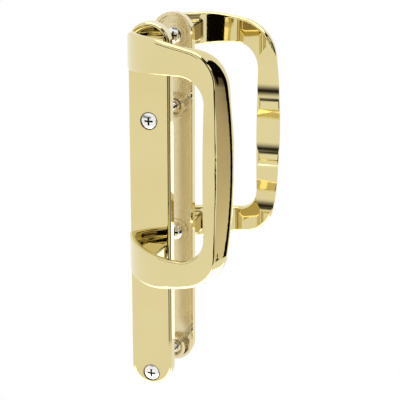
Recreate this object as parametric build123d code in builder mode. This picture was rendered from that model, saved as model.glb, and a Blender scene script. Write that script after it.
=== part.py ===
"""Patio door handle set: an inside half and an outside half that clamp a sliding door.

X runs from the plates towards the grips, Y from the room to the outside, Z up. The origin lies
on the door's inside face, on the axis of the lower through screw.
"""

from build123d import *
import os

# Door and plates
DOOR_THICKNESS = 41.0
PLATE_LENGTH = 260.0
PLATE_WIDTH = 29.5
PLATE_DEPTH = 8.0
PLATE_WALL = 2.0
PLATE_EDGE_RADIUS = 2.4
PLATE_INNER_RADIUS = 0.8

# Through screws, which join the halves across the door
THROUGH_SPACING = 184.0
THROUGH_TO_PLATE_END = 9.0
THROUGH_DIAMETER = 5.0
THROUGH_CLEARANCE = 0.5
THROUGH_HEAD_DIAMETER = 10.8
THROUGH_HEAD_CROWN = 1.1
THROUGH_SEAT_GAP = 0.05
THROUGH_ENTRY = 4.0
COUNTERSINK_DIAMETER = 11.8
COUNTERSINK_ANGLE = 90.0
SPACER_DIAMETER = 13.0

# Threaded bosses of the outside plate
BOSS_DIAMETER = 17.0
BOSS_BORE = 13.0
BOSS_BELOW_RIM = 0.5
NUT_POST_DIAMETER = 9.0
NUT_POST_BELOW_RIM = 2.0
THREAD_GAP = 0.1

# Pull screws, driven from inside the plates
PULL_SCREW_SPACING = 144.4
PULL_SCREW_DIAMETER = 6.0
PULL_SCREW_LENGTH = 18.0
PULL_SCREW_HEAD_DIAMETER = 11.0
PULL_SCREW_HEAD_HEIGHT = 2.9
PULL_SCREW_HEAD_SIDE = 1.3
SCREW_TIP_CHAMFER = 0.6
PULL_SCREW_CLEARANCE = 0.4
PAD_DIAMETER = 18.0
PAD_HEIGHT = 0.9
SEAT_DIAMETER = 13.0
SEAT_HEIGHT = 1.8

# Cross recess of every screw
RECESS_SPAN = 6.0
RECESS_WIDTH = 1.3
RECESS_DEPTH = 2.0
RECESS_TAPER = 12.0

# Pull, seen from above: distances off the plate's face, and distances back from the grip's
# outermost point
PULL_STANDOFF = 41.5
GRIP_THICKNESS = 15.0
PULL_REACH = 69.0
RIDGE_INSET = 9.6
GRIP_WIDTH = 17.0
GRIP_BACK_WIDTH = 13.0
ARM_FLAT_TO_REACH = 27.0
ARM_BACK_TO_REACH = 32.0
ARM_THICKNESS = 5.0
ARM_BACK_BLEND = 14.0

# Outer side of the pull: depth below the ridge, and share of the way from the ridge's outline to
# the widest one, which the arms keep from there down to the plate
SIDE_PROFILE = ((0.0, 0.0), (3.0, 0.36), (6.0, 0.69), (9.0, 0.93), (13.0, 1.0))
LOWER_SECTIONS = 5

# Pull, seen from the front: heights are measured from its screws, and the drop of each corner from
# the outline's top
PULL_MIDDLE_TO_PLATE_TOP = 89.0
ARM_ABOVE_SCREW = 12.3
ARM_BELOW_SCREW = 10.4
FOOT_BELOW_SCREW = 14.8
RIDGE_DROP = 3.1
RIDGE_CORNER_INSET = 1.2
RIDGE_CORNER_DROP = 6.8
RIDGE_CORNER_RADIUS = 23.0
WIDE_CORNER_INSET = 5.2
WIDE_CORNER_DROP = 15.0
WIDE_CORNER_RADIUS = 28.0
TOP_STRAIGHT_END = 18.0
FOOT_CORNER_RADIUS = 10.0
OPENING_CORNER_RADIUS = 17.3
GRIP_INNER_BOW = 0.8

# Screw posts behind the arms
POST_RIGHT = 12.0
POST_LEFT = -10.0
POST_HEIGHT = 15.5
POST_CORNER_RADIUS = 2.5
POST_DRAFT = 3.0
POST_HOLE_DEPTH = 16.0
POST_ARM_RADIUS = 2.0

# Finger scallops on the grip's door side
SCALLOP_COUNT = 3
SCALLOP_PITCH = 40.0
SCALLOP_DEPTH = 3.2
SCALLOP_CREST_RADIUS = 20.0
SCALLOP_END = 8.0

# Edge roundings of the pull
RIDGE_EDGE_RADIUS = 2.4
OPENING_EDGE_RADIUS = 1.4
BACK_EDGE_RADIUS = 2.2

# Places worked out from the sizes above
PLATE_BOTTOM = -THROUGH_TO_PLATE_END
PLATE_TOP = PLATE_BOTTOM + PLATE_LENGTH
PLATE_MIDDLE = (PLATE_BOTTOM + PLATE_TOP) / 2
PLATE_SIDE = PLATE_WIDTH / 2
CAVITY_DEPTH = PLATE_DEPTH - PLATE_WALL
THROUGH_HEIGHTS = {"lower": 0.0, "upper": THROUGH_SPACING}
PULL_MIDDLE = PLATE_TOP - PULL_MIDDLE_TO_PLATE_TOP
PULL_SCREW_OFFSETS = {"lower": -PULL_SCREW_SPACING / 2, "upper": PULL_SCREW_SPACING / 2}
THROUGH_PLACES = [(0, height) for height in THROUGH_HEIGHTS.values()]
PULL_SCREW_PLACES = [(0, offset) for offset in PULL_SCREW_OFFSETS.values()]

# Outlines of the pull: its widest half height, that of the opening, and the sides
WIDE_HALF_HEIGHT = PULL_SCREW_SPACING / 2 + ARM_ABOVE_SCREW
OPENING_HALF_HEIGHT = PULL_SCREW_SPACING / 2 - ARM_BELOW_SCREW
OPENING_FOOT_HALF_HEIGHT = PULL_SCREW_SPACING / 2 - FOOT_BELOW_SCREW
GRIP_INNER_SIDE = PULL_REACH - GRIP_WIDTH
GRIP_CLEARANCE = PULL_STANDOFF - GRIP_THICKNESS
BEYOND_PULL = 2.0

# Arms in plan: one arc from the plate's edge, tangent to the grip's flat front
ARM_FLAT_START = PULL_REACH - ARM_FLAT_TO_REACH
ARM_BACK_END = PULL_REACH - ARM_BACK_TO_REACH
ARM_RADIUS = ((ARM_FLAT_START + PLATE_SIDE) ** 2 + PULL_STANDOFF**2) / (2 * PULL_STANDOFF)
ARM_CENTRE_LEVEL = PULL_STANDOFF - ARM_RADIUS

# Working planes: the inside plate's rim and face seen from the room, the outside plate's rim and
# the middle of its wall, the plate's face about the pull's middle, the pull's plan and the grip's
# inner side, both with an axis that measures distance off the plate's face
RIM = Plane(origin=(0, 0, 0), x_dir=(1, 0, 0), z_dir=(0, -1, 0))
FACE = RIM.offset(PLATE_DEPTH)
DOOR_MIDDLE = RIM.offset(-DOOR_THICKNESS / 2)
OUTSIDE_RIM = RIM.offset(-DOOR_THICKNESS)
OUTSIDE_WALL = OUTSIDE_RIM.offset(-(PLATE_DEPTH - PLATE_WALL / 2))
PULL_FRONT = Plane(origin=(0, -PLATE_DEPTH, PULL_MIDDLE), x_dir=(1, 0, 0), z_dir=(0, -1, 0))
PULL_PLAN = Plane(
    origin=(0, -PLATE_DEPTH, PULL_MIDDLE + WIDE_HALF_HEIGHT + BEYOND_PULL),
    x_dir=(1, 0, 0),
    z_dir=(0, 0, -1),
)
PULL_PLAN_DEPTH = 2 * (WIDE_HALF_HEIGHT + BEYOND_PULL)
GRIP_SIDE = Plane(
    origin=(GRIP_INNER_SIDE - BEYOND_PULL, -PLATE_DEPTH, PULL_MIDDLE),
    x_dir=(0, -1, 0),
    z_dir=(1, 0, 0),
)


def arm_arc(radius, distance):
    """Point at a distance along X on an arc about the arms' centre, as a place in the plan."""
    return (distance, ARM_CENTRE_LEVEL + (radius**2 - (ARM_FLAT_START - distance) ** 2) ** 0.5)


def arm_foot(radius):
    """Point where an arc about the arms' centre meets the plate's face."""
    return (ARM_FLAT_START - (radius**2 - ARM_CENTRE_LEVEL**2) ** 0.5, 0)


def meeting_edges(first, second):
    """The edges along which faces of one group meet faces of the other."""
    return ShapeList(
        edge for edge in first.edges() if any(edge.is_same(other) for other in second.edges())
    )


def plan_faces(part, way):
    """Flat and round faces that look along Y, one way or the other, without the foot."""
    smooth = part.faces().filter_by(lambda face: face.geom_type != GeomType.BSPLINE)
    clear = smooth.filter_by(lambda face: face.center().Y < -PLATE_DEPTH - BEYOND_PULL)
    return clear.filter_by(lambda face: way * face.normal_at(face.center()).Y > 0.5)


def opening_faces(part):
    """Walls of the hand opening: every round face whose axis runs along Y."""
    return part.faces().filter_by(GeomType.CYLINDER).filter_by(
        lambda face: abs(face.axis_of_rotation.direction.Y) > 0.99
    )


# Shell that both plates start from: rounded ends, soft front edge, open at the rim
with BuildPart() as plate_shell:
    with BuildSketch(RIM):
        with Locations((0, PLATE_MIDDLE)):
            SlotOverall(PLATE_LENGTH, PLATE_WIDTH, rotation=90)
    extrude(amount=PLATE_DEPTH)
    fillet(plate_shell.faces().sort_by(Axis.Y)[0].edges(), radius=PLATE_EDGE_RADIUS)
    with BuildSketch(RIM):
        with Locations((0, PLATE_MIDDLE)):
            SlotOverall(
                PLATE_LENGTH - 2 * PLATE_WALL, PLATE_WIDTH - 2 * PLATE_WALL, rotation=90
            )
    extrude(amount=CAVITY_DEPTH, mode=Mode.SUBTRACT)
    cavity_floor = plate_shell.faces().filter_by(Axis.Y).sort_by(Axis.Y)[1]
    fillet(cavity_floor.edges(), radius=PLATE_INNER_RADIUS)
    # Stepped pads that the pull screws' heads seat on
    for diameter, height in ((PAD_DIAMETER, PAD_HEIGHT), (SEAT_DIAMETER, SEAT_HEIGHT)):
        with BuildSketch(PULL_FRONT.offset(-PLATE_WALL / 2)):
            with Locations(*PULL_SCREW_PLACES):
                Circle(diameter / 2)
        extrude(amount=-(PLATE_WALL / 2 + height))
    with BuildSketch(PULL_FRONT):
        with Locations(*PULL_SCREW_PLACES):
            Circle((PULL_SCREW_DIAMETER + PULL_SCREW_CLEARANCE) / 2)
    extrude(amount=-PLATE_DEPTH, mode=Mode.SUBTRACT)

# Inside plate: spacer tubes down to the door, and countersunk holes
with BuildPart() as interior_plate:
    add(plate_shell.part)
    with BuildSketch(RIM):
        with Locations(*THROUGH_PLACES):
            Circle(SPACER_DIAMETER / 2)
    extrude(amount=PLATE_DEPTH - PLATE_WALL / 2)
    with Locations(FACE):
        with Locations(*THROUGH_PLACES):
            CounterSinkHole(
                radius=(THROUGH_DIAMETER + THROUGH_CLEARANCE) / 2,
                counter_sink_radius=COUNTERSINK_DIAMETER / 2,
                depth=PLATE_DEPTH,
                counter_sink_angle=COUNTERSINK_ANGLE,
            )

# Outside plate: plain face, hollow bosses with a threaded post in each
with BuildPart() as exterior_plate:
    mirror(plate_shell.part, about=DOOR_MIDDLE)
    with BuildSketch(OUTSIDE_WALL):
        with Locations(*THROUGH_PLACES):
            Circle(BOSS_DIAMETER / 2)
    extrude(amount=PLATE_DEPTH - PLATE_WALL / 2 - BOSS_BELOW_RIM)
    with BuildSketch(OUTSIDE_RIM):
        with Locations(*THROUGH_PLACES):
            Circle(BOSS_BORE / 2)
    extrude(amount=-CAVITY_DEPTH, mode=Mode.SUBTRACT)
    with BuildSketch(OUTSIDE_WALL):
        with Locations(*THROUGH_PLACES):
            Circle(NUT_POST_DIAMETER / 2)
    extrude(amount=PLATE_DEPTH - PLATE_WALL / 2 - NUT_POST_BELOW_RIM)
    with BuildSketch(OUTSIDE_RIM.offset(-NUT_POST_BELOW_RIM)):
        with Locations(*THROUGH_PLACES):
            Circle(THROUGH_DIAMETER / 2 + THREAD_GAP)
    extrude(amount=-(THROUGH_ENTRY + THROUGH_CLEARANCE), mode=Mode.SUBTRACT)

# Outer form of the pull: outlines from the plate through the widest one to the ridge
LOWER_TOP = PULL_STANDOFF - SIDE_PROFILE[-1][0]
SECTIONS = [(LOWER_TOP * step / LOWER_SECTIONS, 1.0) for step in range(LOWER_SECTIONS)]
SECTIONS += [(PULL_STANDOFF - depth, share) for depth, share in reversed(SIDE_PROFILE)]
with BuildPart() as pull_form:
    for level, share in SECTIONS:
        top = WIDE_HALF_HEIGHT - RIDGE_DROP * (1 - share)
        side = PULL_REACH - RIDGE_INSET * (1 - share)
        corner_inset = RIDGE_CORNER_INSET + (WIDE_CORNER_INSET - RIDGE_CORNER_INSET) * share
        corner_drop = RIDGE_CORNER_DROP + (WIDE_CORNER_DROP - RIDGE_CORNER_DROP) * share
        corner = (side - corner_inset, top - corner_drop)
        with BuildSketch(PULL_FRONT.offset(level)) as outline:
            with BuildLine():
                Polyline(
                    (TOP_STRAIGHT_END, -top),
                    (-PLATE_SIDE, -top),
                    (-PLATE_SIDE, top),
                    (TOP_STRAIGHT_END, top),
                )
                TangentArc((TOP_STRAIGHT_END, top), corner, tangent=(1, 0))
                ThreePointArc(corner, (side, 0), (corner[0], -corner[1]))
                TangentArc((TOP_STRAIGHT_END, -top), (corner[0], -corner[1]), tangent=(1, 0))
            make_face()
            corner_radius = (
                RIDGE_CORNER_RADIUS + (WIDE_CORNER_RADIUS - RIDGE_CORNER_RADIUS) * share
            )
            fillet(outline.vertices().group_by(Axis.X)[-1], radius=corner_radius)
            fillet(outline.vertices().group_by(Axis.X)[0], radius=FOOT_CORNER_RADIUS)
    loft()

# Posts that take the pull's screws: they end inside the arms
with BuildPart() as posts:
    with BuildSketch(PULL_FRONT):
        with Locations(*[((POST_LEFT + POST_RIGHT) / 2, offset) for _, offset in PULL_SCREW_PLACES]):
            RectangleRounded(POST_RIGHT - POST_LEFT, POST_HEIGHT, POST_CORNER_RADIUS)
    extrude(amount=PULL_STANDOFF, taper=POST_DRAFT)
    with BuildSketch(PULL_PLAN):
        with BuildLine():
            post_end = ARM_RADIUS - ARM_THICKNESS / 2
            TangentArc(arm_arc(post_end, ARM_FLAT_START), arm_foot(post_end), tangent=(-1, 0))
            Polyline(
                arm_foot(post_end), (ARM_FLAT_START, 0), arm_arc(post_end, ARM_FLAT_START)
            )
        make_face()
    extrude(amount=PULL_PLAN_DEPTH, mode=Mode.INTERSECT)

# Inside pull: arms and grip in plan, kept within the outer form and opened for the hand
with BuildPart() as interior_pull:
    with BuildSketch(PULL_PLAN) as plan:
        with BuildLine():
            back_radius = ARM_RADIUS - ARM_THICKNESS
            arm_back_end = arm_arc(back_radius, ARM_BACK_END)
            back_middle = arm_arc(back_radius, ARM_FLAT_START - back_radius * 0.5**0.5)
            TangentArc((ARM_FLAT_START, PULL_STANDOFF), (-PLATE_SIDE, 0), tangent=(-1, 0))
            Line((-PLATE_SIDE, 0), arm_foot(back_radius))
            ThreePointArc(arm_foot(back_radius), back_middle, arm_back_end)
            Polyline(
                arm_back_end,
                (PULL_REACH - GRIP_BACK_WIDTH, GRIP_CLEARANCE),
                (PULL_REACH + BEYOND_PULL, GRIP_CLEARANCE),
                (PULL_REACH + BEYOND_PULL, PULL_STANDOFF),
                (ARM_FLAT_START, PULL_STANDOFF),
            )
        make_face()
        back_corners = plan.vertices().filter_by(
            lambda corner: corner.X in (ARM_BACK_END, PULL_REACH - GRIP_BACK_WIDTH)
        )
        fillet(back_corners, radius=ARM_BACK_BLEND)
    extrude(amount=PULL_PLAN_DEPTH)
    add(pull_form.part, mode=Mode.INTERSECT)
    with BuildSketch(PULL_FRONT):
        with BuildLine():
            corner_side = GRIP_INNER_SIDE - OPENING_CORNER_RADIUS
            corner_height = OPENING_HALF_HEIGHT - OPENING_CORNER_RADIUS
            for way in (1, -1):
                corner_start = (corner_side, way * OPENING_HALF_HEIGHT)
                foot = (-PLATE_SIDE, way * OPENING_FOOT_HALF_HEIGHT)
                TangentArc(corner_start, foot, tangent=(-1, 0))
                TangentArc(corner_start, (GRIP_INNER_SIDE, way * corner_height), tangent=(1, 0))
            ThreePointArc(
                (GRIP_INNER_SIDE, corner_height),
                (GRIP_INNER_SIDE - GRIP_INNER_BOW, 0),
                (GRIP_INNER_SIDE, -corner_height),
            )
            Polyline(
                (-PLATE_SIDE, OPENING_FOOT_HALF_HEIGHT),
                (-PLATE_SIDE - BEYOND_PULL, OPENING_FOOT_HALF_HEIGHT),
                (-PLATE_SIDE - BEYOND_PULL, -OPENING_FOOT_HALF_HEIGHT),
                (-PLATE_SIDE, -OPENING_FOOT_HALF_HEIGHT),
            )
        make_face()
    extrude(amount=PULL_STANDOFF + BEYOND_PULL, mode=Mode.SUBTRACT)

    # Soft edges: outer side at the ridge and at the back, then the opening's front and back
    outer_side = interior_pull.faces().filter_by(GeomType.BSPLINE)
    fillet(meeting_edges(plan_faces(interior_pull, -1), outer_side), radius=RIDGE_EDGE_RADIUS)
    outer_side = interior_pull.faces().filter_by(GeomType.BSPLINE)
    fillet(meeting_edges(plan_faces(interior_pull, 1), outer_side), radius=BACK_EDGE_RADIUS)
    for way, radius in ((-1, OPENING_EDGE_RADIUS), (1, BACK_EDGE_RADIUS)):
        edges = meeting_edges(plan_faces(interior_pull, way), opening_faces(interior_pull))
        fillet(edges, radius=radius)
    split(bisect_by=PULL_FRONT, keep=Keep.TOP)
    # Finger scallops across the grip's back, with rounded crests between them
    with BuildSketch(GRIP_SIDE) as scallops:
        with BuildLine():
            row_end = SCALLOP_COUNT * SCALLOP_PITCH / 2
            for number in range(SCALLOP_COUNT):
                start = number * SCALLOP_PITCH - row_end
                ThreePointArc(
                    (GRIP_CLEARANCE, start),
                    (GRIP_CLEARANCE + SCALLOP_DEPTH, start + SCALLOP_PITCH / 2),
                    (GRIP_CLEARANCE, start + SCALLOP_PITCH),
                )
            Polyline(
                (GRIP_CLEARANCE, row_end),
                (GRIP_CLEARANCE, row_end + SCALLOP_END),
                (GRIP_CLEARANCE - SCALLOP_DEPTH, row_end + SCALLOP_END),
                (GRIP_CLEARANCE - SCALLOP_DEPTH, -row_end - SCALLOP_END),
                (GRIP_CLEARANCE, -row_end - SCALLOP_END),
                (GRIP_CLEARANCE, -row_end),
            )
        make_face()
        crests = scallops.vertices().filter_by(lambda point: abs(point.Y) < row_end + SCALLOP_END / 2)
        fillet(crests, radius=SCALLOP_CREST_RADIUS)
    extrude(amount=GRIP_WIDTH + 2 * BEYOND_PULL, mode=Mode.SUBTRACT)
    # Posts, softened where they run into the arms, and their threaded holes
    add(posts.part)
    post_walls = interior_pull.faces().filter_by(
        lambda face: face.geom_type in (GeomType.PLANE, GeomType.CONE)
        and abs(face.normal_at(face.center()).Y) < 0.1
    )
    junction = meeting_edges(post_walls, plan_faces(interior_pull, 1))
    fillet(junction, radius=POST_ARM_RADIUS)
    with BuildSketch(PULL_FRONT):
        with Locations(*PULL_SCREW_PLACES):
            Circle(PULL_SCREW_DIAMETER / 2 + THREAD_GAP)
    extrude(amount=POST_HOLE_DEPTH, mode=Mode.SUBTRACT)

# Outside pull: the same casting turned about, on the far side of the door
with BuildPart() as exterior_pull:
    mirror(interior_pull.part, about=DOOR_MIDDLE)

os.makedirs("parts", exist_ok=True)
interior_plate.part.label = "interior_plate"
interior_pull.part.label = "interior_pull"
exterior_plate.part.label = "exterior_plate"
exterior_pull.part.label = "exterior_pull"
export_step(interior_plate.part, "parts/interior_plate.step")
export_step(interior_pull.part, "parts/interior_pull.step")
export_step(exterior_plate.part, "parts/exterior_plate.step")
export_step(exterior_pull.part, "parts/exterior_pull.step")

# Through screws: oval heads in the inside plate's countersinks, tips in the outside plate's posts
HEAD_RIM = (COUNTERSINK_DIAMETER - THROUGH_HEAD_DIAMETER) / 2 - THROUGH_SEAT_GAP - PLATE_DEPTH
HEAD_CONE = (THROUGH_HEAD_DIAMETER - THROUGH_DIAMETER) / 2
HEAD_TOP = HEAD_RIM - THROUGH_HEAD_CROWN
THROUGH_TIP = DOOR_THICKNESS + NUT_POST_BELOW_RIM + THROUGH_ENTRY
for place, height in THROUGH_HEIGHTS.items():
    with BuildPart() as through_screw:
        with BuildSketch(Plane.XY.offset(height)):
            with BuildLine():
                TangentArc((0, HEAD_TOP), (THROUGH_HEAD_DIAMETER / 2, HEAD_RIM), tangent=(1, 0))
                Polyline(
                    (THROUGH_HEAD_DIAMETER / 2, HEAD_RIM),
                    (THROUGH_DIAMETER / 2, HEAD_RIM + HEAD_CONE),
                    (THROUGH_DIAMETER / 2, THROUGH_TIP - SCREW_TIP_CHAMFER),
                    (THROUGH_DIAMETER / 2 - SCREW_TIP_CHAMFER, THROUGH_TIP),
                    (0, THROUGH_TIP),
                    (0, HEAD_TOP),
                )
            make_face()
        revolve(axis=Axis((0, 0, height), (0, 1, 0)))
        with BuildSketch(Plane(origin=(0, HEAD_TOP, height), x_dir=(1, 0, 0), z_dir=(0, 1, 0))):
            Rectangle(RECESS_SPAN, RECESS_WIDTH)
            Rectangle(RECESS_WIDTH, RECESS_SPAN)
        extrude(amount=RECESS_DEPTH, taper=RECESS_TAPER, mode=Mode.SUBTRACT)
    through_screw.part.label = f"through_screw_{place}"
    export_step(through_screw.part, f"parts/through_screw_{place}.step")

# Pull screws: pan heads on the pads inside each plate, shanks in the pull's posts
HEAD_SEAT = PLATE_WALL + SEAT_HEIGHT - PLATE_DEPTH
PAN_TOP = HEAD_SEAT + PULL_SCREW_HEAD_HEIGHT
PULL_SCREW_TIP = HEAD_SEAT - PULL_SCREW_LENGTH
for place, offset in PULL_SCREW_OFFSETS.items():
    height = PULL_MIDDLE + offset
    with BuildPart() as interior_pull_screw:
        with BuildSketch(Plane.XY.offset(height)):
            with BuildLine():
                head_side = (PULL_SCREW_HEAD_DIAMETER / 2, HEAD_SEAT + PULL_SCREW_HEAD_SIDE)
                TangentArc((0, PAN_TOP), head_side, tangent=(1, 0))
                Polyline(
                    head_side,
                    (PULL_SCREW_HEAD_DIAMETER / 2, HEAD_SEAT),
                    (PULL_SCREW_DIAMETER / 2, HEAD_SEAT),
                    (PULL_SCREW_DIAMETER / 2, PULL_SCREW_TIP + SCREW_TIP_CHAMFER),
                    (PULL_SCREW_DIAMETER / 2 - SCREW_TIP_CHAMFER, PULL_SCREW_TIP),
                    (0, PULL_SCREW_TIP),
                    (0, PAN_TOP),
                )
            make_face()
        revolve(axis=Axis((0, 0, height), (0, 1, 0)))
        with BuildSketch(Plane(origin=(0, PAN_TOP, height), x_dir=(1, 0, 0), z_dir=(0, -1, 0))):
            Rectangle(RECESS_SPAN, RECESS_WIDTH)
            Rectangle(RECESS_WIDTH, RECESS_SPAN)
        extrude(amount=RECESS_DEPTH, taper=RECESS_TAPER, mode=Mode.SUBTRACT)
    with BuildPart() as exterior_pull_screw:
        mirror(interior_pull_screw.part, about=DOOR_MIDDLE)
    interior_pull_screw.part.label = f"interior_pull_screw_{place}"
    exterior_pull_screw.part.label = f"exterior_pull_screw_{place}"
    export_step(interior_pull_screw.part, f"parts/interior_pull_screw_{place}.step")
    export_step(exterior_pull_screw.part, f"parts/exterior_pull_screw_{place}.step")
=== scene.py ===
import math

import bmesh
import bpy
import numpy as np
from bpy.props import FloatProperty, FloatVectorProperty, IntProperty, PointerProperty
from bpy.types import Operator, Panel, PropertyGroup
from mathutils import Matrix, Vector


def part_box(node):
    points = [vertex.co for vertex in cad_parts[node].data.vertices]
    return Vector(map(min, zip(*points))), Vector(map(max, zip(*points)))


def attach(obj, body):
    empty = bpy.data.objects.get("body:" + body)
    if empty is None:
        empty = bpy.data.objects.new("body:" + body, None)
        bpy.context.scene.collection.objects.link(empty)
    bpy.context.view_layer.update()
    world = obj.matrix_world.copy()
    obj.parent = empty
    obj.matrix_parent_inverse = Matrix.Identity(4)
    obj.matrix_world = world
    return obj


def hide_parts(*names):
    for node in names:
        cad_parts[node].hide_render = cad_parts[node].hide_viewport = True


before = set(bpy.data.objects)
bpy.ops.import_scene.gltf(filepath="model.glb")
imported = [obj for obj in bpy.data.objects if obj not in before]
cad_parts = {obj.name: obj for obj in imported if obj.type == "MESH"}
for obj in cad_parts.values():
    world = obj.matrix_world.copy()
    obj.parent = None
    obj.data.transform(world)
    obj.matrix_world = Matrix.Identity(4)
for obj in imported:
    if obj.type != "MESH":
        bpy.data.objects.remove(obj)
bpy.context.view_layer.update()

bl_info = {
    "name": "Patio Door Handle",
    "version": (1, 0, 0),
    "blender": (4, 5, 0),
    "location": "3D View > Sidebar > Handle",
    "description": "Finishes a polished brass patio door handle set and lights it in a white studio",
    "category": "Object",
}

MM = 0.001
PLATES = ("interior_plate", "exterior_plate")
PULLS = ("interior_pull", "exterior_pull")
PULL_SCREWS = tuple(
    f"{side}_pull_screw_{end}" for side in ("interior", "exterior") for end in ("lower", "upper")
)
THROUGH_SCREWS = ("through_screw_lower", "through_screw_upper")

# Points of a mesh closer than this are one, and edges that turn more than this stay crisp
WELD = 0.001 * MM
CRISP = math.radians(32)

# Depth below a plate's faces and sides that still counts as its polished outside
SKIN_WALL = 1 * MM

# Sizes of the patterns: clouds in the lacquer, lines of the buffing wheel, sand grain of the casting and
# grain of the plating. All but the clouds are finer on a real set, and are this coarse so that they show.
CLOUD = 60 * MM
BUFFED_LINE_WIDTH = 0.7 * MM
BUFFED_LINE_LENGTH = 12 * MM
SAND_GRAIN = 1.5 * MM
PLATING_GRAIN = 0.6 * MM

# Least and most roughness over each pattern, as shares of the finish's own, and the noise levels for them
BUFFED_SPREAD = (0.8, 1.4)
CAST_SPREAD = (0.8, 1.2)
PLATING_SPREAD = (0.7, 1.4)
NOISE_LOW = 0.3
NOISE_HIGH = 0.7

# How many finer layers of noise each pattern has
SOFT_DETAIL = 2.0
GRAINY_DETAIL = 3.0

# The warmer clouds: the noise levels where they start and are full, and their share when full
CLOUD_START = 0.42
CLOUD_FULL = 0.75
CLOUD_SHARE = 0.35

COAT_ROUGHNESS = 0.02
SENSOR_WIDTH = 36.0
FLOOR_COLUMNS = 65
CARD_COLUMNS = 9


def linear(code):
    """A hex colour as linear light: c / 12.92 when dark, else ((c + 0.055) / 1.055) to the 2.4."""
    channels = [int(code[start:start + 2], 16) / 255 for start in (1, 3, 5)]
    return [c / 12.92 if c <= 0.04045 else ((c + 0.055) / 1.055) ** 2.4 for c in channels]


def add_node(tree, kind, inputs=None, **settings):
    """Adds a node with its settings, and fills or links its inputs by name or number."""
    node = tree.nodes.new(kind)
    for name, value in settings.items():
        setattr(node, name, value)
    for name, value in (inputs or {}).items():
        if isinstance(value, bpy.types.NodeSocket):
            tree.links.new(value, node.inputs[name])
        else:
            node.inputs[name].default_value = value
    return node


def new_material(name):
    """An empty node material, and its tree."""
    material = bpy.data.materials.new(name)
    material.use_nodes = True
    material.node_tree.nodes.clear()
    return material, material.node_tree


def put_on(material, names):
    """Gives CAD nodes one material, their shapes left alone."""
    for name in names:
        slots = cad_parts[name].data.materials
        slots.clear()
        slots.append(material)


def grid_mesh(name, points):
    """A mesh from an array of points, rows by columns, each cell one quad of its four neighbours."""
    rows, columns, _ = points.shape
    index = np.arange(rows * columns).reshape(rows, columns)
    quads = np.stack((index[:-1, :-1], index[:-1, 1:], index[1:, 1:], index[1:, :-1]), axis=-1)
    mesh = bpy.data.meshes.new(name)
    mesh.from_pydata(points.reshape(-1, 3).tolist(), [], quads.reshape(-1, 4).tolist())
    return mesh


def new_piece(name, mesh, material):
    """An object at the origin with its place in its mesh, and its material."""
    mesh.materials.append(material)
    piece = bpy.data.objects.new(name, mesh)
    bpy.context.scene.collection.objects.link(piece)
    return piece


class BrassSettings(PropertyGroup):
    """Colours and finish of the cast, buffed and lacquered brass."""

    colour: FloatVectorProperty(
        name="Brass", description="Pale yellow of the polished metal", subtype="COLOR",
        size=3, min=0, max=1, default=linear("#dfd198"))
    tarnish: FloatVectorProperty(
        name="Warm brass", description="Deeper tone that the lacquer gives in soft clouds", subtype="COLOR",
        size=3, min=0, max=1, default=linear("#d3bd7c"))
    polish: FloatProperty(
        name="Polish", description="Roughness of the buffed faces", subtype="FACTOR",
        min=0, max=1, default=0.045)
    cast: FloatProperty(
        name="Cast inside", description="Roughness inside the shells, which no buffing wheel reaches",
        subtype="FACTOR", min=0, max=1, default=0.16)
    cast_colour: FloatVectorProperty(
        name="Cast skin", description="Colour of the unpolished inside", subtype="COLOR",
        size=3, min=0, max=1, default=linear("#e8dab0"))
    cast_metal: FloatProperty(
        name="Cast metal", description="How far the cast skin acts as bare metal", subtype="FACTOR",
        min=0, max=1, default=0.62)
    lacquer: FloatProperty(
        name="Lacquer", description="Weight of the clear coat", subtype="FACTOR",
        min=0, max=1, default=0.35)
    # Painted shade: the dark ring round each through screw's head stands for the shadow in the gap there
    ring_shade: FloatVectorProperty(
        name="Compound", description="Dark polishing compound round the screw heads", subtype="COLOR",
        size=3, min=0, max=1, default=linear("#5b4c24"))
    ring: FloatProperty(
        name="Ring", description="Width of the dark ring round a through screw's head",
        subtype="DISTANCE", unit="LENGTH", default=0.8 * MM)
    ripple: FloatProperty(
        name="Buffing ripple", description="Height of the soft waves that hand buffing leaves",
        subtype="DISTANCE", unit="LENGTH", min=0, default=0.012 * MM)
    ripple_length: FloatProperty(
        name="Ripple length", description="Width of one buffed wave", subtype="DISTANCE", unit="LENGTH",
        min=1 * MM, default=26 * MM)


class ScrewSettings(PropertyGroup):
    """Colour, finish and thread of the plated screws."""

    colour: FloatVectorProperty(
        name="Plating", description="Bright zinc on steel", subtype="COLOR",
        size=3, min=0, max=1, default=linear("#f0efeb"))
    roughness: FloatProperty(
        name="Roughness", description="Roughness of the plating", subtype="FACTOR",
        min=0, max=1, default=0.16)
    # Painted shade: the dark cross recess colour stands for the shadow inside the recess
    recess_shade_colour: FloatVectorProperty(
        name="Recess", description="Dark grease in the cross recess", subtype="COLOR",
        size=3, min=0, max=1, default=linear("#2c2823"))
    recess_span: FloatProperty(
        name="Recess span", description="Tip to tip of the cross", subtype="DISTANCE",
        unit="LENGTH", default=6 * MM)
    recess_width: FloatProperty(
        name="Recess width", description="Width of each arm of the cross", subtype="DISTANCE",
        unit="LENGTH", default=1.3 * MM)
    pitch: FloatProperty(
        name="Thread pitch", description="Rise of the thread in one turn", subtype="DISTANCE",
        unit="LENGTH", min=0.2 * MM, default=0.8 * MM)
    thread_height: FloatProperty(
        name="Thread height", description="Depth of the thread's grooves", subtype="DISTANCE",
        unit="LENGTH", min=0, default=0.4 * MM)
    shank: FloatProperty(
        name="Shank", description="Diameter over the thread of a long screw", subtype="DISTANCE",
        unit="LENGTH", default=5 * MM)
    head: FloatProperty(
        name="Head", description="Length of a long screw's head, crown and cone", subtype="DISTANCE",
        unit="LENGTH", default=4 * MM)
    columns: IntProperty(name="Columns", description="Faces round the thread", min=12, default=40)
    rows_per_turn: IntProperty(
        name="Rows in a turn", description="Faces along one pitch", min=4, default=8)


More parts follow.
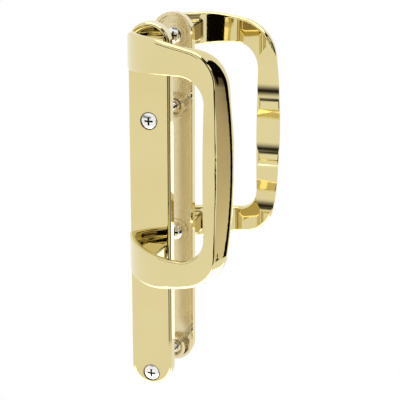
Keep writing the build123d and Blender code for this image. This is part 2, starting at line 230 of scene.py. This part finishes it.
class StudioSettings(PropertyGroup):
    """The white floor, the soft light and the cards that a polished metal shows."""

    floor: FloatVectorProperty(
        name="Floor", description="Matt white paper", subtype="COLOR",
        size=3, min=0, max=1, default=linear("#f2f2f2"))
    floor_drop: FloatProperty(
        name="Floor below the set", description="From the lower screw down to the floor",
        subtype="DISTANCE", unit="LENGTH", default=0.3)
    floor_radius: FloatProperty(
        name="Floor radius", description="Half the width of the round floor", subtype="DISTANCE",
        unit="LENGTH", default=6.0)
    sky: FloatProperty(
        name="Surround", description="Brightness of the white surround", min=0, default=1.0)
    card_radius: FloatProperty(
        name="Card distance", description="From the origin's upright line to the cards round it",
        subtype="DISTANCE", unit="LENGTH", default=0.8)


class ViewSettings(PropertyGroup):
    """Where the camera stands: in front, a little to the right and above."""

    target: FloatVectorProperty(
        name="Target", description="Point that the camera looks at", subtype="TRANSLATION",
        unit="LENGTH", size=3, default=(0.0271, 0.0205, 0.121))
    azimuth: FloatProperty(
        name="Azimuth", description="Turn to the right of straight in front", subtype="ANGLE",
        default=math.radians(18.1))
    elevation: FloatProperty(
        name="Elevation", description="Angle looked down at", subtype="ANGLE",
        default=math.radians(16.45))
    distance: FloatProperty(
        name="Distance", description="From the target to the lens", subtype="DISTANCE",
        unit="LENGTH", default=0.932)
    lens: FloatProperty(
        name="Lens", description="Focal length on a 36 mm sensor, in millimetres", default=119.46)
    rise: FloatProperty(
        name="Rise", description="Vertical shift of the lens, as a share of the frame", default=0.0068)


class HandleSettings(PropertyGroup):
    """All settings of the set."""

    brass: PointerProperty(type=BrassSettings, name="Brass", description="Cast pieces")
    screws: PointerProperty(type=ScrewSettings, name="Screws", description="Plated screws")
    studio: PointerProperty(type=StudioSettings, name="Studio", description="Floor and light")
    view: PointerProperty(type=ViewSettings, name="View", description="Camera")


def uneven(tree, place, scale, detail, value, spread):
    """A value that varies over the surface with a noise pattern, between two shares of itself."""
    least, most = spread
    pattern = add_node(tree, "ShaderNodeTexNoise", {"Vector": place, "Scale": scale, "Detail": detail})
    return add_node(tree, "ShaderNodeMapRange", {
        "Value": pattern.outputs["Fac"], "From Min": NOISE_LOW, "From Max": NOISE_HIGH,
        "To Min": least * value, "To Max": most * value}).outputs["Result"]


def add_brass(tree, settings, place, roughness, inside=None, rings=None):
    """Lacquered brass: a yellow mirror with clouds of a warmer tone and long shallow buffed ripples.

    Where the mask called inside is 1, it is the paler and softer skin of the casting, and where the
    one called rings is 1, it takes a dark colour as painted shade in the gap round a screw's head.
    """
    clouds = add_node(tree, "ShaderNodeTexNoise", {
        "Vector": place, "Scale": 1 / CLOUD, "Detail": SOFT_DETAIL, "Roughness": 0.5})
    tone = add_node(tree, "ShaderNodeMapRange", {
        "Value": clouds.outputs["Fac"], "From Min": CLOUD_START, "From Max": CLOUD_FULL,
        "To Min": 0.0, "To Max": CLOUD_SHARE})
    colour = add_node(tree, "ShaderNodeMix", {
        "Factor": tone.outputs["Result"], "A": (*settings.colour, 1), "B": (*settings.tarnish, 1)},
        data_type="RGBA")
    metallic = 1.0
    if inside:
        colour = add_node(tree, "ShaderNodeMix", {
            "Factor": inside, "A": colour.outputs["Result"], "B": (*settings.cast_colour, 1)},
            data_type="RGBA")
        metallic = add_node(tree, "ShaderNodeMix", {
            "Factor": inside, "A": 1.0, "B": settings.cast_metal}, data_type="FLOAT").outputs["Result"]
    # Painted shade: a dark ring round each through screw's head, for the shadow in the gap there
    if rings:
        colour = add_node(tree, "ShaderNodeMix", {
            "Factor": rings, "A": colour.outputs["Result"], "B": (*settings.ring_shade, 1)},
            data_type="RGBA")
    ripple = add_node(tree, "ShaderNodeTexNoise", {
        "Vector": place, "Scale": 1 / settings.ripple_length, "Detail": 0.0})
    bump = add_node(tree, "ShaderNodeBump", {
        "Height": ripple.outputs["Fac"], "Strength": 1.0, "Distance": settings.ripple})
    shader = add_node(tree, "ShaderNodeBsdfPrincipled", {
        "Base Color": colour.outputs["Result"], "Metallic": metallic, "Roughness": roughness,
        "Coat Weight": settings.lacquer, "Coat Roughness": COAT_ROUGHNESS,
        "Normal": bump.outputs["Normal"]})
    add_node(tree, "ShaderNodeOutputMaterial", {"Surface": shader.outputs["BSDF"]})


def buffed_brass(settings):
    """Cast brass, buffed all over and lacquered: a warm mirror with faint upright lines of the wheel."""
    material, tree = new_material("lacquered_polished_brass")
    place = add_node(tree, "ShaderNodeTexCoord").outputs["Object"]
    stretched = add_node(tree, "ShaderNodeMapping", {
        "Vector": place, "Scale": (1 / BUFFED_LINE_WIDTH, 1 / BUFFED_LINE_WIDTH, 1 / BUFFED_LINE_LENGTH)})
    roughness = uneven(
        tree, stretched.outputs["Vector"], 1.0, SOFT_DETAIL, settings.polish, BUFFED_SPREAD)
    add_brass(tree, settings, place, roughness)
    return material


def screw_head_shade_rings(tree, place, settings):
    """A mask of thin rings round the through screws' heads, painted dark as the shade in the gap at each
    head.

    It is 1 where the distance to a screw's axis, the root of x squared plus z squared, is less than the
    ring's outer radius, on the face of the inside plate. The head itself has its own material.
    """
    axes = add_node(tree, "ShaderNodeSeparateXYZ", {"Vector": place})
    level = add_node(tree, "ShaderNodeCombineXYZ", {"X": axes.outputs["X"], "Z": axes.outputs["Z"]})
    mask = 0.0
    for name in THROUGH_SCREWS:
        low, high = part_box(name)
        centre = ((low[0] + high[0]) / 2, 0, axis_height(name))
        away = add_node(tree, "ShaderNodeVectorMath", {
            0: level.outputs["Vector"], 1: centre}, operation="DISTANCE")
        outer = (high[0] - low[0]) / 2 + settings.ring
        disc = add_node(tree, "ShaderNodeMath", {
            0: away.outputs["Value"], 1: outer}, operation="LESS_THAN")
        mask = add_node(tree, "ShaderNodeMath", {
            0: mask, 1: disc.outputs[0]}, operation="MAXIMUM").outputs[0]
    front = add_node(tree, "ShaderNodeMath", {
        0: axes.outputs["Y"], 1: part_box("interior_plate")[0][1] + SKIN_WALL}, operation="LESS_THAN")
    return add_node(tree, "ShaderNodeMath", {
        0: mask, 1: front.outputs[0]}, operation="MULTIPLY").outputs[0]


def shell_inside(tree, place):
    """A mask that is 1 inside the two plates, further than a thin wall from their faces and sides."""
    low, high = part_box("interior_plate")
    _, outside_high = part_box("exterior_plate")
    axes = add_node(tree, "ShaderNodeSeparateXYZ", {"Vector": place})
    across = add_node(tree, "ShaderNodeMath", {0: axes.outputs["X"]}, operation="ABSOLUTE")
    between = add_node(tree, "ShaderNodeMath", {
        0: across.outputs[0], 1: high[0] - SKIN_WALL}, operation="LESS_THAN")
    front = add_node(tree, "ShaderNodeMath", {
        0: axes.outputs["Y"], 1: low[1] + SKIN_WALL}, operation="GREATER_THAN")
    back = add_node(tree, "ShaderNodeMath", {
        0: axes.outputs["Y"], 1: outside_high[1] - SKIN_WALL}, operation="LESS_THAN")
    deep = add_node(tree, "ShaderNodeMath", {
        0: front.outputs[0], 1: back.outputs[0]}, operation="MULTIPLY")
    return add_node(tree, "ShaderNodeMath", {
        0: deep.outputs[0], 1: between.outputs[0]}, operation="MULTIPLY").outputs[0]


def shell_brass(settings):
    """The same brass on a shell whose inside keeps its cast skin: duller where no wheel reaches."""
    material, tree = new_material("lacquered_brass_cast_inside")
    place = add_node(tree, "ShaderNodeTexCoord").outputs["Object"]
    inside = shell_inside(tree, place)
    rings = screw_head_shade_rings(tree, place, settings)
    cast = uneven(tree, place, 1 / SAND_GRAIN, GRAINY_DETAIL, settings.cast, CAST_SPREAD)
    roughness = add_node(tree, "ShaderNodeMix", {
        "Factor": inside, "A": settings.polish, "B": cast}, data_type="FLOAT")
    add_brass(tree, settings, place, roughness.outputs["Result"], inside, rings)
    return material


def plated_steel(settings, height):
    """Zinc plated steel: bright and a little grainy, with painted shade in the cross recess.

    The recess is where the smaller of x and z, both measured from the screw's axis at this height, is
    less than half an arm's width, and the larger less than half the cross's span.
    """
    material, tree = new_material("bright_zinc_plated_steel")
    place = add_node(tree, "ShaderNodeTexCoord").outputs["Object"]
    roughness = uneven(
        tree, place, 1 / PLATING_GRAIN, GRAINY_DETAIL, settings.roughness, PLATING_SPREAD)
    axes = add_node(tree, "ShaderNodeSeparateXYZ", {"Vector": place})
    rise = add_node(tree, "ShaderNodeMath", {0: axes.outputs["Z"], 1: height}, operation="SUBTRACT")
    sideways = add_node(tree, "ShaderNodeMath", {0: axes.outputs["X"]}, operation="ABSOLUTE")
    upwards = add_node(tree, "ShaderNodeMath", {0: rise.outputs[0]}, operation="ABSOLUTE")
    near = add_node(tree, "ShaderNodeMath", {
        0: sideways.outputs[0], 1: upwards.outputs[0]}, operation="MINIMUM")
    far = add_node(tree, "ShaderNodeMath", {
        0: sideways.outputs[0], 1: upwards.outputs[0]}, operation="MAXIMUM")
    slot = add_node(tree, "ShaderNodeMath", {
        0: near.outputs[0], 1: settings.recess_width / 2}, operation="LESS_THAN")
    span = add_node(tree, "ShaderNodeMath", {
        0: far.outputs[0], 1: settings.recess_span / 2}, operation="LESS_THAN")
    recess = add_node(tree, "ShaderNodeMath", {
        0: slot.outputs[0], 1: span.outputs[0]}, operation="MULTIPLY")
    # Painted shade: the recess mask darkens the cross for the shadow inside it
    colour = add_node(tree, "ShaderNodeMix", {
        "Factor": recess.outputs[0], "A": (*settings.colour, 1), "B": (*settings.recess_shade_colour, 1)},
        data_type="RGBA")
    shader = add_node(tree, "ShaderNodeBsdfPrincipled", {
        "Base Color": colour.outputs["Result"], "Metallic": 1.0, "Roughness": roughness})
    add_node(tree, "ShaderNodeOutputMaterial", {"Surface": shader.outputs["BSDF"]})
    return material


def white_paper(settings):
    """Matt white paper, which takes a soft shadow and has no gloss.

    What it doesn't throw back is added as a glow where a camera, a mirror or glass looks at it, so it
    looks white there and lights nothing.
    """
    material, tree = new_material("matt_white_paper")
    path = add_node(tree, "ShaderNodeLightPath")
    mirrored = add_node(tree, "ShaderNodeMath", {
        0: path.outputs["Is Glossy Ray"], 1: path.outputs["Is Transmission Ray"]}, operation="MAXIMUM")
    seen = add_node(tree, "ShaderNodeMath", {
        0: path.outputs["Is Camera Ray"], 1: mirrored.outputs[0]}, operation="MAXIMUM")
    glow = add_node(tree, "ShaderNodeMath", {
        0: seen.outputs[0], 1: settings.sky * (1 - settings.floor[0])}, operation="MULTIPLY")
    matt = add_node(tree, "ShaderNodeBsdfDiffuse", {"Color": (*settings.floor, 1)})
    light = add_node(tree, "ShaderNodeEmission", {"Strength": glow.outputs[0]})
    both = add_node(tree, "ShaderNodeAddShader", {
        0: matt.outputs["BSDF"], 1: light.outputs["Emission"]})
    add_node(tree, "ShaderNodeOutputMaterial", {"Surface": both.outputs[0]})
    return material


def graded_board(name, strength, tones):
    """A glowing board of one colour, or one whose colour runs from each tone's height to the next.

    Between two heights, the share of the upper tone is 3 t squared less 2 t cubed, where t is the share
    of the way up from the lower one.
    """
    board, tree = new_material(name)
    shown = add_node(tree, "ShaderNodeEmission", {"Strength": strength})
    if isinstance(tones, str):
        shown.inputs["Color"].default_value = (*linear(tones), 1)
    else:
        place = add_node(tree, "ShaderNodeTexCoord").outputs["Object"]
        height = add_node(tree, "ShaderNodeSeparateXYZ", {"Vector": place}).outputs["Z"]
        colour = (*linear(tones[0][1]), 1)
        for (low, _), (high, tone) in zip(tones, tones[1:]):
            share = add_node(tree, "ShaderNodeMapRange", {
                "Value": height, "From Min": low, "From Max": high}, interpolation_type="SMOOTHSTEP")
            colour = add_node(tree, "ShaderNodeMix", {
                "Factor": share.outputs["Result"], "A": colour, "B": (*linear(tone), 1)},
                data_type="RGBA").outputs["Result"]
        tree.links.new(colour, shown.inputs["Color"])
    add_node(tree, "ShaderNodeOutputMaterial", {"Surface": shown.outputs["Emission"]})
    return board


def axis_height(name):
    """Height of a screw's axis, which lies along Y."""
    low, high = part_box(name)
    return (low[2] + high[2]) / 2


def screw_head(name, neck):
    """A copy of a long screw's head as far as its neck, closed there, with its plain shank left out."""
    shape = bmesh.new()
    shape.from_mesh(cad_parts[name].data)
    bmesh.ops.remove_doubles(shape, verts=shape.verts, dist=WELD)
    shank = [face for face in shape.faces if face.calc_center_median().y > neck]
    bmesh.ops.delete(shape, geom=shank, context="FACES")
    bmesh.ops.holes_fill(shape, edges=[edge for edge in shape.edges if edge.is_boundary], sides=0)
    return shape


def thread_points(start, end, radius, height, settings):
    """A threaded rod along Y as rows of rings, with a point at each end to close it.

    The radius is the screw's own less the thread's depth times a triangle wave of (distance along
    / pitch - angle / one turn), which climbs one pitch in each turn, and the wave fades to nothing
    over the first and last pitch.
    """
    rows = int((end - start) / settings.pitch * settings.rows_per_turn) + 1
    along, angle = np.meshgrid(
        np.linspace(start, end, rows), np.linspace(0, 2 * np.pi, settings.columns + 1), indexing="ij")
    wave = np.abs(2 * ((along / settings.pitch - angle / (2 * np.pi)) % 1) - 1)
    fade = np.clip(np.minimum(along - start, end - along) / settings.pitch, 0, 1)
    reach = np.pad(radius - settings.thread_height * wave * fade, ((1, 1), (0, 0)))
    along = np.pad(along, ((1, 1), (0, 0)), mode="edge")
    angle = np.pad(angle, ((1, 1), (0, 0)), mode="edge")
    return np.stack((reach * np.sin(angle), along, height + reach * np.cos(angle)), axis=-1)


def add_grid(shape, points):
    """Adds rows and columns of points to a mesh being built, with a quad in each cell."""
    mesh = grid_mesh("grid", points)
    shape.from_mesh(mesh)
    bpy.data.meshes.remove(mesh)


def disc_points(radius, height):
    """A level disc: a distance of 0 and of the radius, each times (sin, -cos) of the azimuth."""
    azimuth, reach = np.meshgrid(np.linspace(0, 2 * np.pi, FLOOR_COLUMNS), np.array([0.0, radius]))
    return np.stack(
        (reach * np.sin(azimuth), -reach * np.cos(azimuth), np.full_like(reach, height)), axis=-1)


def upright_sheet(radius, first, last, bottom, top):
    """Part of an upright cylinder: its radius times (sin, -cos) of an azimuth in degrees."""
    azimuth, height = np.meshgrid(
        np.radians(np.linspace(first, last, CARD_COLUMNS)), np.array([bottom, top]))
    return np.stack((radius * np.sin(azimuth), -radius * np.cos(azimuth), height), axis=-1)


def add_soft_box(name, power, side, height, turn):
    """A square lamp above or below the origin, whose light only glossy faces catch."""
    lamp = bpy.data.lights.new(name, "AREA")
    lamp.energy = power
    lamp.size = side
    soft_box = bpy.data.objects.new(name, lamp)
    soft_box.location = (0, 0, height)
    soft_box.rotation_euler = (turn, 0, 0)
    soft_box.visible_camera = False
    soft_box.visible_diffuse = False
    bpy.context.scene.collection.objects.link(soft_box)


class HANDLE_OT_plates(Operator):
    """Finishes the two cast shells: polished outside, cast skin inside"""

    bl_idname = "handle.plates"
    bl_label = "Plates"

    def execute(self, context):
        put_on(shell_brass(context.scene.handle.brass), PLATES)
        return {"FINISHED"}


class HANDLE_OT_pulls(Operator):
    """Finishes the two cast pulls, polished all over"""

    bl_idname = "handle.pulls"
    bl_label = "Pulls"

    def execute(self, context):
        put_on(buffed_brass(context.scene.handle.brass), PULLS)
        return {"FINISHED"}


class HANDLE_OT_pull_screws(Operator):
    """Finishes the four short screws that hold the pulls"""

    bl_idname = "handle.pull_screws"
    bl_label = "Pull screws"

    def execute(self, context):
        for name in PULL_SCREWS:
            put_on(plated_steel(context.scene.handle.screws, axis_height(name)), [name])
        return {"FINISHED"}


class HANDLE_OT_through_screws(Operator):
    """Cuts the threads of the two long screws, under the heads that they already have"""

    bl_idname = "handle.through_screws"
    bl_label = "Through screws"

    def execute(self, context):
        settings = context.scene.handle.screws
        for name in THROUGH_SCREWS:
            height = axis_height(name)
            low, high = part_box(name)
            neck = low[1] + settings.head
            shape = screw_head(name, neck)
            start = neck - settings.pitch / 2
            add_grid(shape, thread_points(start, high[1], settings.shank / 2, height, settings))
            bmesh.ops.remove_doubles(shape, verts=shape.verts, dist=WELD)
            bmesh.ops.recalc_face_normals(shape, faces=shape.faces)
            mesh = bpy.data.meshes.new("threaded_" + name)
            shape.to_mesh(mesh)
            shape.free()
            mesh.shade_smooth()
            mesh.set_sharp_from_angle(angle=CRISP)
            piece = new_piece("threaded_" + name, mesh, plated_steel(settings, height))
            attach(piece, "root")
            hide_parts(name)
        return {"FINISHED"}


class HANDLE_OT_studio(Operator):
    """Builds the white floor, the surround, the cards and the soft boxes"""

    bl_idname = "handle.studio"
    bl_label = "Studio"

    # Cards that only the metal shows: first and last azimuth in degrees, 0 in front and 90 to the right,
    # bottom and top in metres, strength as a share of the surround's, and one tone, or tones from the
    # bottom up, each after its height in metres
    cards = {
        "card_front_right": (22, 50, -0.3, 0.9, 1.0, "#0c0806"),
        "card_right": (
            60, 94, -0.3, 0.6, 1.0, ((-0.2, "#e9e1d2"), (0.02, "#c9bdb0"), (0.25, "#5e564c"))),
        "card_behind_right": (94, 130, -0.3, 1.1, 1.0, "#0c0806"),
        "card_behind": (150, 160.6, -0.3, 0.0, 2.0, "#ffffff"),
        "card_front_left": (
            -60, -5, 0.15, 0.42, 1.0, ((0.15, "#ffffff"), (0.285, "#1c130a"), (0.42, "#ffffff"))),
        "card_overhead_front": (-45, 60, 0.9, 1.2, 1.0, "#0c0806"),
        "card_overhead_right": (60, 130, 0.9, 1.5, 1.0, "#0c0806"),
    }

    # Soft boxes over and under the set: power in watts, side and height in metres, turn in radians
    soft_boxes = {
        "soft_box_over": (2.3, 0.8, 0.95, 0.0),
        "soft_box_under": (3.4, 0.8, -0.28, math.pi),
    }

    def execute(self, context):
        settings = context.scene.handle.studio
        context.scene.view_settings.view_transform = "Standard"
        disc = grid_mesh("floor", disc_points(settings.floor_radius, -settings.floor_drop))
        new_piece("floor", disc, white_paper(settings))
        for name, (first, last, bottom, top, strength, tones) in self.cards.items():
            sheet = grid_mesh(name, upright_sheet(settings.card_radius, first, last, bottom, top))
            board = graded_board(name.replace("card", "board"), strength * settings.sky, tones)
            card = new_piece(name, sheet, board)
            card.visible_camera = False
            card.visible_diffuse = False
            card.visible_shadow = False
        for name, (power, side, height, turn) in self.soft_boxes.items():
            add_soft_box(name, power, side, height, turn)
        world = bpy.data.worlds.new("white_surround")
        world.use_nodes = True
        surround = world.node_tree.nodes["Background"]
        surround.inputs["Color"].default_value = (1, 1, 1, 1)
        surround.inputs["Strength"].default_value = settings.sky
        context.scene.world = world
        return {"FINISHED"}


class HANDLE_OT_view(Operator):
    """Places the camera on a ray from its target: right, front and above"""

    bl_idname = "handle.view"
    bl_label = "Camera"

    def execute(self, context):
        settings = context.scene.handle.view
        camera = bpy.data.objects.new("camera", bpy.data.cameras.new("camera"))
        context.scene.collection.objects.link(camera)
        level = math.cos(settings.elevation)
        back = Vector((
            math.sin(settings.azimuth) * level,
            -math.cos(settings.azimuth) * level,
            math.sin(settings.elevation),
        ))
        camera.location = Vector(settings.target) + settings.distance * back
        camera.rotation_euler = (-back).to_track_quat("-Z", "Y").to_euler()
        camera.data.sensor_width = SENSOR_WIDTH
        camera.data.lens = settings.lens
        camera.data.shift_y = settings.rise
        context.scene.camera = camera
        return {"FINISHED"}


class HANDLE_PT_panel(Panel):
    """Lists the settings and the steps that build the set"""

    bl_idname = "HANDLE_PT_panel"
    bl_label = "Patio door handle"
    bl_space_type = "VIEW_3D"
    bl_region_type = "UI"
    bl_category = "Handle"

    def draw(self, context):
        layout = self.layout
        handle = context.scene.handle
        steps = (
            (handle.brass, ("handle.plates", "handle.pulls")),
            (handle.screws, ("handle.pull_screws", "handle.through_screws")),
            (handle.studio, ("handle.studio",)),
            (handle.view, ("handle.view",)),
        )
        for settings, operators in steps:
            box = layout.box()
            for name in settings.__annotations__:
                box.prop(settings, name)
            for operator in operators:
                box.operator(operator)


CLASSES = (
    BrassSettings, ScrewSettings, StudioSettings, ViewSettings, HandleSettings,
    HANDLE_OT_plates, HANDLE_OT_pulls, HANDLE_OT_pull_screws, HANDLE_OT_through_screws,
    HANDLE_OT_studio, HANDLE_OT_view,
    HANDLE_PT_panel,
)


def register():
    """Adds the classes, and the settings to the scene."""
    for cls in CLASSES:
        bpy.utils.register_class(cls)
    bpy.types.Scene.handle = PointerProperty(
        type=HandleSettings, name="Handle", description="Patio door handle set")


def unregister():
    """Takes the settings and the classes away again."""
    del bpy.types.Scene.handle
    for cls in reversed(CLASSES):
        bpy.utils.unregister_class(cls)


def main():
    """Builds the set step by step."""
    register()
    bpy.ops.handle.plates()
    bpy.ops.handle.pulls()
    bpy.ops.handle.pull_screws()
    bpy.ops.handle.through_screws()
    bpy.ops.handle.studio()
    bpy.ops.handle.view()


if __name__ == "__main__":
    main()
